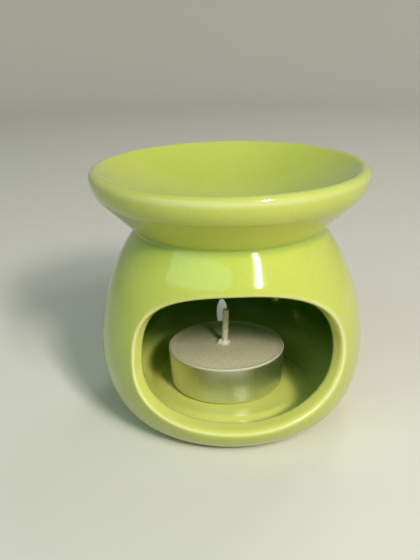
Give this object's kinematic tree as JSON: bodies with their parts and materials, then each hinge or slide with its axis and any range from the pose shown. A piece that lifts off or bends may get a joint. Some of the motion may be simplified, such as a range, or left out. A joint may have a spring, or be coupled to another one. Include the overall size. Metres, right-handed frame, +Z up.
{
  "type": "essential oil burner",
  "caption": "Round glazed ceramic oil burner: a pot with a wide oval hearth mouth and back vents, a shallow dish on top for water and oil, and a lift-out tealight.",
  "frame": {"origin": "centre of the foot ring, on the surface that the burner stands on", "axes": "+Z up along the pot's axis, -Y out of the mouth of the hearth"},
  "size_m": [0.0848, 0.0848, 0.08],
  "materials": {
    "glaze": "glossy lime-green glaze, paler where it is thin on edges",
    "cup_foil": "thin drawn sheet, bright",
    "wax": "off-white wax with a fine grain",
    "cotton": "waxed cotton braid, unburnt",
    "tinplate": "plain tinplate"
  },
  "bodies": {
    "burner": {"hearth_pot": "glaze", "oil_dish": "glaze"},
    "tealight": {"tealight_cup": "cup_foil", "tealight_wax": "wax", "tealight_wick": "cotton", "wick_sustainer": "tinplate"}
  },
  "joints": [
    {"name": "tealight_lift_out", "type": "slide", "parent": "burner", "child": "tealight", "axis": [0, -0.9613, 0.2756], "range_m": [0, 0.072]}
  ]
}
